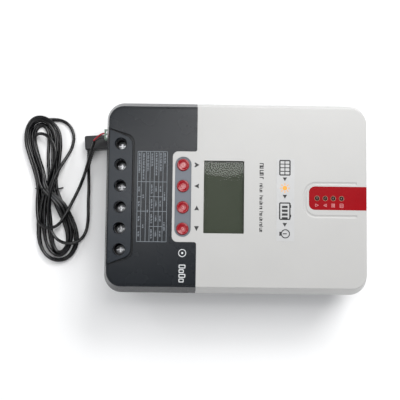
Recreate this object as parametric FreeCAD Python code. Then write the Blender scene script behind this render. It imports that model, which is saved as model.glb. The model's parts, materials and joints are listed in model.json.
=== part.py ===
import FreeCAD, Part
import math
import os

# Solar charge controller with a remote battery temperature sensor on a cord. Millimetres.
# The controller lies on its back. The origin is the centre of its underside: +X runs along
# the long side, from the terminals to the status lights, and +Z comes out of the front face.

V = FreeCAD.Vector

# ---- Driving dimensions -------------------------------------------------------------------
LENGTH, WIDTH, HEIGHT = 238.0, 173.0, 72.5
BUTTON_PROUD = 0.8                        # the buttons are the highest point
FACE_Z = HEIGHT - BUTTON_PROUD            # front face
RIM_Z = 46.0                              # lower edge of the covers
BEVEL_RISE = 16.0                         # height of the sloping band below the face
BEVEL_Z = FACE_Z - BEVEL_RISE
BEVEL_IN_X, BEVEL_IN_Y = 3.4, 6.0         # how far the band leans in, ends and long sides
CORNER_R = 16.0
SKIN = 2.5                                # wall of the plastic covers
SEAM = 0.2                                # gap between neighbouring plastic parts

FLOOR_Z0, FLOOR_Z = 20.0, 24.0            # base plate of the casting
CAST_X, CAST_Y = 116.3, 76.5              # half size of the casting's tray
CAST_WALL = 3.0
FLANGE_IN, FLANGE_T = 1.0, 2.5            # flange that closes the covers from below
FIN_TIP_Z, FIN_T, FIN_PITCH, FIN_COUNT = 1.0, 2.2, 7.5, 17
FIN_HALF = 108.0
RIB_PITCH, RIB_T, RIB_OUT = 8.0, 1.6, 1.6
EAR_X, EAR_Y, EAR_T, EAR_HALF = 90.0, 81.0, 4.0, 9.0
SLOT_LENGTH, SLOT_R = 7.66, 2.35

TERMINAL_X = -104.8
TERMINAL_PITCH, TERMINAL_COUNT, TERMINAL_MID_Y = 18.94, 6, -0.75
TERMINAL_YS = [TERMINAL_MID_Y + (2.5 - i) * TERMINAL_PITCH for i in range(TERMINAL_COUNT)]
WELL_R = 5.5                              # screwdriver hole in the terminal cover
COVER_GAP = 1.4                           # open seam around the terminal cover
SCREW_R, HEAD_R, HEAD_H, HEAD_DOME_R = 3.0, 4.2, 3.0, 9.5
CLAMP_TRAVEL = 5.5

BUTTON_X, BUTTON_YS = -48.6, [28.1, 9.0, -10.0, -29.1]
BUTTON_R = 5.4
BUTTON_TRAVEL = 0.6
BUTTON_FLANGE_Z, BUTTON_FLANGE_T, BUTTON_STEM_Z, BUTTON_STEM_R = 68.2, 0.9, 66.9, 2.5
SWITCH_HALF, SWITCH_TOP, PLUNGER_R, PLUNGER_LENGTH = 3.0, 65.8, 1.7, 1.7
STRIP_X0, STRIP_X1, STRIP_Y0, STRIP_Y1 = -55.8, -41.2, -36.3, 35.5
STRIP_Z0, STRIP_Z1 = 70.2, 71.0
SEAM_X = -36.2                            # where the dark and the light covers meet
TAB_X, TAB_Y0, TAB_Y1 = -58.0, -40.8, 40.2

LCD_X0, LCD_X1, LCD_Y0, LCD_Y1 = -30.0, 6.1, -32.8, 32.3
DISPLAY_Z, DISPLAY_TOP, WINDOW_Z0 = 67.3, 67.8, 67.9
LED_XS, LED_Y, LED_HOLE_R, LED_R = [71.3, 78.6, 85.8, 93.2], -0.4, 2.0, 1.5
LABEL_X0, LABEL_X1, LABEL_Y0, LABEL_Y1, LABEL_T = 64.0, 115.6, -10.8, 10.3, 0.4
STICKER_X0, STICKER_X1, STICKER_Y0, STICKER_Y1, STICKER_T = 35.0, 51.0, -38.9, 34.7, 0.15

POWER_Z0, POWER_Z1 = 30.0, 31.6           # power board
CONTROL_Z0, CONTROL_Z1 = 61.0, 62.6       # control board behind the display
CONTROL_BOX = (-57.5, 101.0, -39.0, 39.0)
BOSS_Y, BOSS_R = 67.0, 3.5
LOWER_BOSS_XS, UPPER_BOSS_XS = [-84.0, -46.0], [-24.0, 40.0, 106.0]
POST_XS, POST_Y, POST_R = [12.5, 96.5], 35.5, 3.0
STANDOFF_XS, STANDOFF_Y = [-86.0, -14.0, 52.0], 56.0
M3_R, M3_HEAD_R = 1.45, 2.8

CAN_R, CAN_LENGTH, CAN_YS = 9.0, 31.0, [-44, -22, 0, 22, 44]
RING_IN, RING_OUT, RING_Z0, RING_Z1 = 11.0, 20.0, 34.2, 48.2
RING_PLACES, RING_TURNS, WIRE_R = [(-45.0, 32.0), (-45.0, -32.0)], 14, 0.8
FET_COUNT, FET_PITCH, FET_X0, FET_X1, FET_HALF, FET_T = 7, 17.5, 74.0, 94.0, 7.8, 5.0
LEG_PITCH, LEG_X, LEG_Z, PAD_T = 5.4, 60.0, 26.5, 0.3
SHUNT_YS, SHUNT_X0, SHUNT_X1, SHUNT_H = [-40, -20, 0, 20, 40], -85.0, -70.0, 5.0

PLUG_Y, PLUG_HALF, PLUG_X0, PLUG_X1 = 59.9, 4.6, -123.6, -106.0
PLUG_Z0, PLUG_Z1 = 32.9, 41.3
PLUG_PITCH, PLUG_WIRE_Z = 3.81, 37.1
PLUG_SCREW_X, PLUG_SCREW_R = -120.9, 1.3
PORT_Y, PORT_HALF, PORT_TOP = -62.9, 6.6, 44.6

CORD_R = 1.55
CORE_R = 0.8
HANK_TOP, WAIST_TOP = 6.4, 9.4              # two layers of cord, three under the tie
TIE_Y, TIE_R = 11.0, 0.5
TIE_X0, TIE_X1, TIE_TAIL = -194.4, -171.0, 7.0
PROBE_SIZE = (28.0, 13.8, 11.5)
PROBE_CORNER, PROBE_TILT = (-146.9, 62.9), 4.2

# Routes of the cord where it isn't wound. The plug's side runs down to the floor, over the
# hank's lower lobe and up its left edge. The probe's side leaves from under the hank's top,
# makes a loose loop, crosses the tie and ends in the probe's strain relief.
PLUG_SIDE_ROUTE = [
    (-134.2, 55.0, 30.5), (-139.2, 44.6, 19.5), (-143.6, 34.2, 9.6), (-147.8, 23.2, 3.6),
    (-152.8, 10.6, 2.6), (-158.4, -2.8, 6.6), (-164.2, -15.4, 9.8), (-170.2, -25.8, 11.6),
    (-180.8, -28.9, 11.8), (-190.2, -22.9, 9.2), (-192.2, -10.9, 7.0), (-192.7, 1.6, 5.2),
]
PROBE_SIDE_ROUTE = [
    (-184.6, 80.0, 2.4), (-176.6, 80.8, 1.6), (-167.4, 78.4, 1.6), (-160.8, 71.4, 1.6),
    (-158.4, 62.0, 1.6), (-160.4, 51.2, 2.2), (-165.4, 40.9, 6.6), (-170.9, 30.7, 10.4),
    (-175.6, 19.4, 11.8), (-178.7, 7.0, 11.8), (-180.2, -5.4, 10.8), (-180.4, -18.2, 8.6),
    (-178.4, -29.8, 8.1), (-171.6, -39.6, 8.4), (-160.6, -43.4, 8.8), (-150.4, -40.6, 6.0),
    (-144.4, -32.0, 2.0), (-142.6, -18.4, 1.6), (-143.1, -2.0, 1.6), (-142.7, 14.0, 1.7),
    (-143.3, 26.0, 2.6), (-143.0, 36.2, 4.4),
]
CORE_ROUTES = {
    "sensor_core_red": [
        (-121.0, PLUG_Y + PLUG_PITCH / 2, PLUG_WIRE_Z), (-126.4, 61.2, 37.4), (-130.8, 58.2, 35.2),
        (-134.9, 55.4, 30.6),
    ],
    "sensor_core_black": [
        (-121.0, PLUG_Y - PLUG_PITCH / 2, PLUG_WIRE_Z), (-126.2, 57.4, 36.6), (-130.6, 56.2, 33.6),
        (-133.5, 54.6, 30.6),
    ],
}
# The outermost turn of the wound hank, clockwise from the left of its waist.
HANK_OUTER = [
    (-192.0, 11.0), (-195.6, 26.0), (-201.4, 41.0), (-206.6, 56.0), (-206.4, 70.4), (-200.4, 81.0),
    (-190.6, 83.0), (-181.2, 77.8), (-173.8, 69.4), (-171.2, 56.4), (-171.8, 40.6), (-172.6, 25.0),
    (-172.4, 11.0), (-166.4, -1.4), (-158.2, -16.0), (-152.2, -31.6), (-152.6, -45.4),
    (-160.6, -57.0), (-172.6, -60.2), (-184.8, -54.4), (-191.4, -41.0), (-192.2, -22.4),
    (-191.2, -5.0),
]


# ---- Small builders -----------------------------------------------------------------------
def box(x0, x1, y0, y1, z0, z1):
    return Part.makeBox(x1 - x0, y1 - y0, z1 - z0, V(x0, y0, z0))


def cylinder(x, y, z0, z1, r):
    return Part.makeCylinder(r, z1 - z0, V(x, y, z0))


def corner_arc(before, corner, after, radius):
    """Tangent arc at a corner: its start, its middle and its end."""
    to_before, to_after = (before - corner).normalize(), (after - corner).normalize()
    half = to_before.getAngle(to_after) / 2
    bisector = (to_before + to_after).normalize()
    cut = radius / math.tan(half)
    centre = corner + bisector * (radius / math.sin(half))
    return corner + to_before * cut, centre - bisector * radius, corner + to_after * cut


def rounded_wire(corners, z):
    """Closed outline from (x, y, corner radius) points."""
    points = [V(x, y, z) for x, y, _ in corners]
    arcs = []
    for i, (_, _, radius) in enumerate(corners):
        after = points[(i + 1) % len(points)]
        if radius > 0:
            arcs.append(corner_arc(points[i - 1], points[i], after, radius))
        else:
            arcs.append((points[i], None, points[i]))
    edges = []
    for i, (start, middle, end) in enumerate(arcs):
        if middle is not None:
            edges.append(Part.Arc(start, middle, end).toShape())
        following = arcs[(i + 1) % len(arcs)][0]
        edges.append(Part.LineSegment(end, following).toShape())
    return Part.Wire(edges)


def plate(corners, z0, z1):
    return Part.Face(rounded_wire(corners, z0)).extrude(V(0, 0, z1 - z0))


def rectangle(x0, x1, y0, y1, radius):
    return [(x0, y0, radius), (x1, y0, radius), (x1, y1, radius), (x0, y1, radius)]


def centred(half_x, half_y, radius):
    return rectangle(-half_x, half_x, -half_y, half_y, radius)


def path_wire(points, radii):
    """Straight runs joined by tangent arcs, one radius for each inner point."""
    points = [V(*p) for p in points]
    edges, last = [], points[0]
    for i, radius in enumerate(radii, start=1):
        start, middle, end = corner_arc(points[i - 1], points[i], points[i + 1], radius)
        edges.append(Part.LineSegment(last, start).toShape())
        edges.append(Part.Arc(start, middle, end).toShape())
        last = end
    edges.append(Part.LineSegment(last, points[-1]).toShape())
    return Part.Wire(edges)


def sweep(path, direction, start, radius):
    ring = Part.Wire(Part.makeCircle(radius, start, direction))
    return path.makePipeShell([ring], True, False)


def cord_tube(name, points, radius):
    """Tube of a cord, each bend as large as its two runs allow."""
    vectors = [V(*p) for p in points]
    radii = []
    for before, corner, after in zip(vectors, vectors[1:], vectors[2:]):
        run_in, run_out = corner - before, after - corner
        turn = run_in.getAngle(run_out)
        shorter = min(run_in.Length, run_out.Length)
        radii.append(0.45 * shorter / math.tan(turn / 2))
    path = path_wire(points, radii)
    tube = sweep(path, vectors[1] - vectors[0], vectors[0], radius)
    expected = math.pi * radius ** 2 * path.Length
    print("%s: length %.0f, radii %s, volume %.0f of %.0f" % (
        name, path.Length, " ".join("%.0f" % r for r in radii), tube.Volume, expected))
    return tube


def fuse(shapes):
    first, rest = shapes[0], shapes[1:]
    return first.fuse(rest).removeSplitter() if rest else first


def save(name, *solids):
    shape = solids[0] if len(solids) == 1 else Part.makeCompound(list(solids))
    shape.exportStep("parts/%s.step" % name)


# ---- Casting ------------------------------------------------------------------------------
def heatsink_base():
    """Die-cast tray with cooling fins below, a flange on top and four mounting ears."""
    tray = plate(centred(CAST_X, CAST_Y, 8), FLOOR_Z0, RIM_Z)
    inside = plate(centred(CAST_X - CAST_WALL, CAST_Y - CAST_WALL, 5), FLOOR_Z, RIM_Z)
    flange = plate(centred(LENGTH / 2 - FLANGE_IN, WIDTH / 2 - FLANGE_IN, CORNER_R - FLANGE_IN),
                   RIM_Z - FLANGE_T, RIM_Z)
    pieces = [tray, flange]
    for i in range(FIN_COUNT):
        y = (i - (FIN_COUNT - 1) / 2) * FIN_PITCH
        pieces.append(box(-FIN_HALF, FIN_HALF, y - FIN_T / 2, y + FIN_T / 2, FIN_TIP_Z, FLOOR_Z0))
    for side in (-1, 1):
        inner, outer = sorted((side * (CAST_Y - CAST_WALL), side * CAST_Y))
        pieces.append(box(-FIN_HALF, FIN_HALF, inner, outer, 0, FLOOR_Z0))
        pieces += side_ribs(side)
        pieces += [mounting_ear(x, side) for x in (-EAR_X, EAR_X)]
    casting = fuse(pieces).cut(inside)
    # The terminal end is open above the base plate: the dark cover's skirt closes it.
    mouth = box(-LENGTH, -CAST_X + CAST_WALL + 2, -70.4, 70.4, FLOOR_Z, RIM_Z + 1)
    holes = [cylinder(x, y, FLOOR_Z0 - 1, FLOOR_Z + 1, 1.7) for x, y in case_screw_places()]
    casting = casting.cut([mouth] + holes)
    save("heatsink_base", casting)


def side_ribs(side):
    """Short upright ribs on the tray's long wall, under the flange."""
    inner, outer = sorted((side * (CAST_Y - 1), side * (CAST_Y + RIB_OUT)))
    count = int(2 * FIN_HALF / RIB_PITCH)
    ribs = []
    for i in range(count + 1):
        x = (i - count / 2) * RIB_PITCH
        z0 = 0.5 if abs(abs(x) - EAR_X) > EAR_HALF + RIB_T else EAR_T + 6
        ribs.append(box(x - RIB_T / 2, x + RIB_T / 2, inner, outer, z0, RIM_Z - FLANGE_T))
    return ribs


def mounting_ear(x, side):
    inner, outer = side * (CAST_Y - 1), side * (WIDTH / 2 - 0.5)
    corners = [(x - EAR_HALF, inner, 0), (x + EAR_HALF, inner, 0),
               (x + EAR_HALF, outer, 4), (x - EAR_HALF, outer, 4)]
    half = SLOT_LENGTH / 2
    y = side * EAR_Y
    slot = plate(rectangle(x - half, x + half, y - SLOT_R, y + SLOT_R, SLOT_R - 0.001), -1, EAR_T + 1)
    return plate(corners, 0, EAR_T).cut(slot)


def case_screw_places():
    return [(x, side * BOSS_Y) for x in LOWER_BOSS_XS + UPPER_BOSS_XS for side in (-1, 1)]


def case_screws():
    """Screws from below, through the base plate and into the covers' bosses."""
    screws = []
    for x, y in case_screw_places():
        head = cylinder(x, y, FLOOR_Z0 - 2.2, FLOOR_Z0, M3_HEAD_R)
        recess = cylinder(x, y, FLOOR_Z0 - 2.3, FLOOR_Z0 - 1.0, 1.2)
        shank = cylinder(x, y, FLOOR_Z0, FLOOR_Z + 14, M3_R)
        screws.append(fuse([head, shank]).cut(recess))
    save("case_screws", *screws)


# ---- Covers -------------------------------------------------------------------------------
def cover_form(inset, top):
    """Upright rim with a sloping band above it. The inset gives the inner form."""
    half_x, half_y = LENGTH / 2 - inset, WIDTH / 2 - inset
    radius = CORNER_R - inset
    rim = plate(centred(half_x, half_y, radius), RIM_Z, BEVEL_Z)
    low = rounded_wire(centred(half_x, half_y, radius), BEVEL_Z)
    high = rounded_wire(centred(half_x - BEVEL_IN_X, half_y - BEVEL_IN_Y, radius - 3), top)
    return fuse([rim, Part.makeLoft([low, high], True, True)])


def light_region(gap):
    """Everything that belongs to the light cover, with the tab around the buttons."""
    corners = [(SEAM_X - gap, WIDTH, 0), (SEAM_X - gap, TAB_Y1 + gap, 2),
               (TAB_X - gap, TAB_Y1 + gap, 5), (TAB_X - gap, TAB_Y0 - gap, 5),
               (SEAM_X - gap, TAB_Y0 - gap, 2), (SEAM_X - gap, -WIDTH, 0),
               (LENGTH, -WIDTH, 0), (LENGTH, WIDTH, 0)]
    return plate(corners, 0, 2 * HEIGHT)


def cover_shell():
    outer = cover_form(0, FACE_Z)
    top_edges = [e for e in outer.Edges if e.BoundBox.ZMin > FACE_Z - 0.01]
    return outer.makeFillet(0.9, top_edges).cut(cover_form(SKIN, FACE_Z - SKIN))


def bosses(xs):
    """Screw bosses hanging from a cover down to the casting's base plate."""
    made = []
    for x in xs:
        for y in (-BOSS_Y, BOSS_Y):
            post = cylinder(x, y, FLOOR_Z, FACE_Z - SKIN + 0.5, BOSS_R)
            made.append(post.cut(cylinder(x, y, FLOOR_Z - 1, FLOOR_Z + 15, M3_R)))
    return made


def upper_cover(shell):
    """Light cover with the display window, the button tab and the light panel."""
    cover = fuse([shell.common(light_region(0))] + bosses(UPPER_BOSS_XS))
    posts = []
    for x in POST_XS:
        for y in (-POST_Y, POST_Y):
            post = cylinder(x, y, CONTROL_Z1, FACE_Z - SKIN + 0.5, POST_R)
            posts.append(post.cut(cylinder(x, y, CONTROL_Z1 - 1, CONTROL_Z1 + 5, M3_R)))
    cover = fuse([cover] + posts)
    half = (STRIP_X1 - STRIP_X0) / 2
    cuts = [
        plate(rectangle(LCD_X0, LCD_X1, LCD_Y0, LCD_Y1, 0.8), FACE_Z - 2 * SKIN, FACE_Z + 1),
        plate(rectangle(STRIP_X0, STRIP_X1, STRIP_Y0, STRIP_Y1, half - 0.001), STRIP_Z0, FACE_Z + 1),
        plate(rectangle(STRIP_X0 + 1.2, STRIP_X1 - 1.2, STRIP_Y0 + 1.2, STRIP_Y1 - 1.2, half - 1.25),
              FACE_Z - 2 * SKIN, FACE_Z),
        plate(label_corners(LENGTH / 2), FACE_Z - LABEL_T, FACE_Z + 1),
        light_panel_groove(),
    ]
    cuts += [cylinder(x, LED_Y, FACE_Z - 2 * SKIN, FACE_Z, LED_HOLE_R) for x in LED_XS]
    save("upper_cover", cover.cut(cuts))


def label_corners(end):
    return [(LABEL_X0, LABEL_Y0, 5.5), (end, LABEL_Y0, 0.3),
            (end, LABEL_Y1, 0.3), (LABEL_X0, LABEL_Y1, 5.5)]


def light_panel_groove():
    """Soft U-shaped groove around the status lights."""
    z, far, near, bend = FACE_Z + 1.6, 107.0, 60.4, 10.0
    top, bottom = LABEL_Y1 + 2.6, LABEL_Y0 - 5.9
    points = [(far, top, z), (near, top, z), (near, bottom, z), (far, bottom, z)]
    return sweep(path_wire(points, [bend, bend]), V(-1, 0, 0), V(*points[0]), 2.2)


def terminal_opening(grow):
    """Outline of the opening for the terminal cover, wider at the end face."""
    near, far = -92.6 + grow, -116.4 - min(grow, 0)
    return [(far, 60.8 + grow, 0.3), (near, 53.2 + grow, 9), (near, -54.6 - grow, 9),
            (far, -62.4 - grow, 0.3)]


def lower_cover(shell):
    """Dark cover over the terminals, with the skirt that holds the cable entries."""
    cover = shell.cut(light_region(SEAM))
    skirt = box(-LENGTH / 2, -LENGTH / 2 + SKIN, -70, 70, FLOOR_Z + 0.2, RIM_Z + 1)
    ledge = plate(terminal_opening(3), FACE_Z - SKIN - 2, FACE_Z - SKIN + 0.1)
    ledge = ledge.common(cover_form(0, FACE_Z))
    cover = fuse([cover, skirt, ledge, seam_lip()] + bosses(LOWER_BOSS_XS))
    cuts = [plate(terminal_opening(0), FACE_Z - SKIN, FACE_Z + 1),
            plate(terminal_opening(-3), FACE_Z - 3 * SKIN, FACE_Z + 1),
            face_groove(), plug_hole(), port_hole()]
    cuts += [box(-LENGTH / 2 - 1, -LENGTH / 2 + SKIN + 1, y - 5.2, y + 5.2, FLOOR_Z, 42.1)
             for y in TERMINAL_YS]
    save("lower_cover", cover.cut(cuts))


def seam_lip():
    """Lip on the dark cover that slips inside the light one."""
    lip = cover_form(SKIN + SEAM, FACE_Z - SKIN - SEAM).cut(cover_form(SKIN + 1.7, FACE_Z - SKIN - 1.7))
    reach = box(SEAM_X - 4, SEAM_X + 3, -WIDTH, WIDTH, RIM_Z, FACE_Z)
    lip = lip.common(reach).cut(box(SEAM_X - 5, SEAM_X + 4, TAB_Y0 - 3, TAB_Y1 + 3, RIM_Z, FACE_Z))
    root = cover_form(SKIN - 0.2, FACE_Z - SKIN + 0.2).cut(cover_form(SKIN + 1.7, FACE_Z - SKIN - 1.7))
    root = root.common(box(SEAM_X - 4, SEAM_X - SEAM, -WIDTH, WIDTH, RIM_Z, FACE_Z))
    root = root.cut(box(SEAM_X - 5, SEAM_X + 4, TAB_Y0 - 3, TAB_Y1 + 3, RIM_Z, FACE_Z))
    return fuse([lip, root])


def face_groove():
    """Fine groove along the edge of the dark face."""
    half_x, half_y = LENGTH / 2 - BEVEL_IN_X - 1.4, WIDTH / 2 - BEVEL_IN_Y - 1.4
    radius = CORNER_R - 4.4
    outer = plate(centred(half_x, half_y, radius), FACE_Z - 0.6, FACE_Z + 1)
    inner = plate(centred(half_x - 0.6, half_y - 0.6, radius - 0.6), FACE_Z - 1, FACE_Z + 1)
    return outer.cut(inner).cut(box(SEAM_X - SEAM, LENGTH, -WIDTH, WIDTH, 0, HEIGHT))


def plug_hole():
    return box(-LENGTH / 2 - 1, -LENGTH / 2 + SKIN + 1, PLUG_Y - PLUG_HALF - 0.4,
               PLUG_Y + PLUG_HALF + 0.4, 32.5, 41.7)


def port_hole():
    return box(-LENGTH / 2 - 1, -LENGTH / 2 + SKIN + 1, PORT_Y - 6, PORT_Y + 6, 32.6, 43.6)


def terminal_cover():
    """Clip-on cover with a driver hole over each terminal screw."""
    plate_body = plate(terminal_opening(-COVER_GAP), FACE_Z - SKIN + 0.05, FACE_Z)
    clips = [box(-110, -102, y0, y0 + 1.6, 60.0, FACE_Z - 1) for y0 in (50.9, -54.0)]
    wells = [cylinder(TERMINAL_X, y, 50, FACE_Z + 1, WELL_R) for y in TERMINAL_YS]
    save("terminal_cover", fuse([plate_body] + clips).cut(wells))


# ---- Front panel --------------------------------------------------------------------------
def front_panel():
    half = (STRIP_X1 - STRIP_X0) / 2
    strip = plate(rectangle(STRIP_X0 + 0.1, STRIP_X1 - 0.1, STRIP_Y0 + 0.1, STRIP_Y1 - 0.1,
                            half - 0.11), STRIP_Z0, STRIP_Z1)
    holes = [cylinder(BUTTON_X, y, STRIP_Z0 - 1, STRIP_Z1 + 1, BUTTON_R + 0.2) for y in BUTTON_YS]
    save("button_strip", strip.cut(holes))

    save("lcd_window", plate(rectangle(LCD_X0 - 2.4, LCD_X1 + 2.2, LCD_Y0 - 2, LCD_Y1 + 2, 1),
                             WINDOW_Z0, FACE_Z - SKIN))
    module = box(LCD_X0 - 2, LCD_X1 + 2, LCD_Y0 - 2, LCD_Y1 + 2, CONTROL_Z1, DISPLAY_TOP)
    glass = box(LCD_X0 + 0.5, LCD_X1 - 0.5, LCD_Y0 + 0.5, LCD_Y1 - 0.5, DISPLAY_Z, FACE_Z)
    save("lcd_module", module.cut(glass))

    label = plate(label_corners(LABEL_X1), FACE_Z - LABEL_T, FACE_Z)
    label = label.cut([cylinder(x, LED_Y, FACE_Z - 1, FACE_Z + 1, LED_HOLE_R) for x in LED_XS])
    save("led_label", label)
    leds = []
    for x in LED_XS:
        dome = Part.makeSphere(LED_R, V(x, LED_Y, FACE_Z - 1.6))
        leds.append(fuse([cylinder(x, LED_Y, CONTROL_Z1, FACE_Z - 1.6, LED_R), dome]))
    save("status_leds", *leds)
    save("front_sticker", plate(rectangle(STICKER_X0, STICKER_X1, STICKER_Y0, STICKER_Y1, 0.8),
                                FACE_Z, FACE_Z + STICKER_T))


def button(index, y):
    """Round push button: cap, retaining flange and stem. The switch plunger is separate."""
    cap = cylinder(BUTTON_X, y, BUTTON_FLANGE_Z, HEIGHT, BUTTON_R)
    rim = [e for e in cap.Edges if e.BoundBox.ZMin > HEIGHT - 0.01]
    cap = cap.makeFillet(0.7, rim)
    flange = cylinder(BUTTON_X, y, BUTTON_FLANGE_Z, BUTTON_FLANGE_Z + BUTTON_FLANGE_T,
                      BUTTON_R + 0.6)
    stem = cylinder(BUTTON_X, y, BUTTON_STEM_Z, BUTTON_FLANGE_Z, BUTTON_STEM_R)
    save("button_%d" % index, fuse([cap, flange, stem]))
    save("switch_plunger_%d" % index,
         cylinder(BUTTON_X, y, BUTTON_STEM_Z - PLUNGER_LENGTH, BUTTON_STEM_Z, PLUNGER_R))


def tact_switches():
    bodies = []
    for y in BUTTON_YS:
        body = box(BUTTON_X - SWITCH_HALF, BUTTON_X + SWITCH_HALF, y - SWITCH_HALF,
                   y + SWITCH_HALF, CONTROL_Z1, SWITCH_TOP)
        bodies.append(body.cut(cylinder(BUTTON_X, y, SWITCH_TOP - 1.5, HEIGHT, PLUNGER_R + 0.1)))
    save("tact_switches", *bodies)


# ---- Boards and power parts ---------------------------------------------------------------
def boards():
    x0, x1, y0, y1 = CONTROL_BOX
    control = plate(rectangle(x0, x1, y0, y1, 2), CONTROL_Z0, CONTROL_Z1)
    control_holes = [(x, s * POST_Y) for x in POST_XS for s in (-1, 1)]
    save("control_board", control.cut([cylinder(x, y, 0, HEIGHT, 1.6) for x, y in control_holes]))

    power_holes = [(x, s * STANDOFF_Y) for x in STANDOFF_XS for s in (-1, 1)]
    power = fuse([box(-115, -92, -70, 70, POWER_Z0, POWER_Z1),
                  box(-92, 62, -61, 61, POWER_Z0, POWER_Z1)])
    save("power_board", power.cut([cylinder(x, y, 0, HEIGHT, 1.6) for x, y in power_holes]))

    standoffs = [cylinder(x, y, FLOOR_Z, POWER_Z0, 3.5).cut(cylinder(x, y, 0, HEIGHT, 1.5))
                 for x, y in power_holes]
    save("board_standoffs", *standoffs)
    screws = []
    for x, y in power_holes:
        screws.append(fuse([cylinder(x, y, FLOOR_Z + 0.5, POWER_Z1, M3_R),
                            cylinder(x, y, POWER_Z1, POWER_Z1 + 1.8, M3_HEAD_R)]))
    for x, y in control_holes:
        screws.append(fuse([cylinder(x, y, CONTROL_Z0, CONTROL_Z1 + 4.5, M3_R - 0.02),
                            cylinder(x, y, CONTROL_Z0 - 1.8, CONTROL_Z0, M3_HEAD_R)]))
    save("board_screws", *screws)

    link = box(40, 40.8, -8, 8, POWER_Z1 + 6, CONTROL_Z0 - 6)
    sockets = [box(37, 43.8, -9.5, 9.5, POWER_Z1, POWER_Z1 + 6),
               box(37, 43.8, -9.5, 9.5, CONTROL_Z0 - 6, CONTROL_Z0)]
    save("board_link", fuse([link] + sockets))


def power_parts():
    bulk_capacitors()
    inductors()
    power_transistors()
    shunts = []
    for y in SHUNT_YS:
        strap = box(SHUNT_X0, SHUNT_X1, y - 3, y + 3, POWER_Z1, POWER_Z1 + SHUNT_H)
        shunts.append(strap.cut(box(SHUNT_X0 + 1, SHUNT_X1 - 1, y - 4, y + 4, POWER_Z1 - 1,
                                    POWER_Z1 + SHUNT_H - 1)))
    save("current_shunts", *shunts)


def bulk_capacitors():
    """Cans that lie on the power board, each with a crimped groove near its seal."""
    cans = []
    groove_x0, groove_width = 3.4, 1.2
    for y in CAN_YS:
        axis = V(0, y, POWER_Z1 + CAN_R + 0.2)
        can = Part.makeCylinder(CAN_R, CAN_LENGTH, axis, V(1, 0, 0))
        band = can.common(box(groove_x0, groove_x0 + groove_width, y - 10, y + 10, 0, HEIGHT))
        neck = Part.makeCylinder(CAN_R - 0.8, groove_width, axis + V(groove_x0, 0, 0), V(1, 0, 0))
        cans.append(can.cut(band.cut(neck)))
    save("bulk_capacitors", *cans)


def inductors():
    save("inductor_cores", *[cylinder(x, y, RING_Z0, RING_Z1, RING_OUT).cut(
        cylinder(x, y, RING_Z0, RING_Z1, RING_IN)) for x, y in RING_PLACES])
    turns = []
    gap = WIRE_R + 0.15
    for x, y in RING_PLACES:
        for i in range(RING_TURNS):
            turn = winding_turn(RING_IN - gap, RING_OUT + gap, RING_Z0 - gap, RING_Z1 + gap, WIRE_R)
            turn.rotate(V(0, 0, 0), V(0, 0, 1), i * 360 / RING_TURNS)
            turn.translate(V(x, y, 0))
            turns.append(turn)
    save("inductor_windings", *turns)


def power_transistors():
    """Transistors held down on the base plate by a bar, with their legs up into the board."""
    transistors, pads = [], []
    x0, x1, low = FET_X0, FET_X1, FLOOR_Z + PAD_T
    for i in range(FET_COUNT):
        y = (i - (FET_COUNT - 1) / 2) * FET_PITCH
        pads.append(box(x0, x1 + 1, y - FET_HALF - 0.4, y + FET_HALF + 0.4, FLOOR_Z, low))
        body = box(x0, x1, y - FET_HALF, y + FET_HALF, low, low + FET_T)
        legs = []
        for leg_y in (y - LEG_PITCH, y, y + LEG_PITCH):
            legs.append(box(LEG_X, x0 + 0.2, leg_y - 0.6, leg_y + 0.6, LEG_Z, LEG_Z + 0.8))
            legs.append(box(LEG_X, LEG_X + 0.8, leg_y - 0.6, leg_y + 0.6, LEG_Z, POWER_Z0))
        transistors.append(fuse([body] + legs))
    save("power_transistors", *transistors)
    save("thermal_pads", *pads)
    save("transistor_clamp_bar", box(x0 + 7, x1 - 7, -62, 62, low + FET_T, low + FET_T + 2.5))


def winding_turn(x0, x1, z0, z1, radius):
    """One turn of wire around the core's section, in the XZ plane."""
    corners = [V(x0, 0, z0), V(x1, 0, z0), V(x1, 0, z1), V(x0, 0, z1)]
    arcs = [corner_arc(corners[i - 1], corners[i], corners[(i + 1) % 4], 1.2) for i in range(4)]
    edges = []
    for i, (start, middle, end) in enumerate(arcs):
        edges.append(Part.Arc(start, middle, end).toShape())
        edges.append(Part.LineSegment(end, arcs[(i + 1) % 4][0]).toShape())
    first = arcs[0][2]
    return sweep(Part.Wire(edges[1:] + edges[:1]), V(1, 0, 0), first, radius)


# ---- Terminals ----------------------------------------------------------------------------
CAGE_X0, CAGE_X1, CAGE_HALF, PASSAGE_HALF = -112.4, -97.2, 5.9, 4.3
CAGE_Z0, CAGE_PLATE_Z, CAGE_Z1 = 32.9, 42.9, 45.1
BAR_Z0, BAR_Z1, BAR_HALF = 41.3, 42.7, 3.8
SHOULDER_Z0, SHOULDER_Z1 = 50.9, 52.1
BLOCK_X0, BLOCK_X1, BLOCK_HALF, BLOCK_TOP = -115.9, -94.0, 7.4, 56.2


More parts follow.
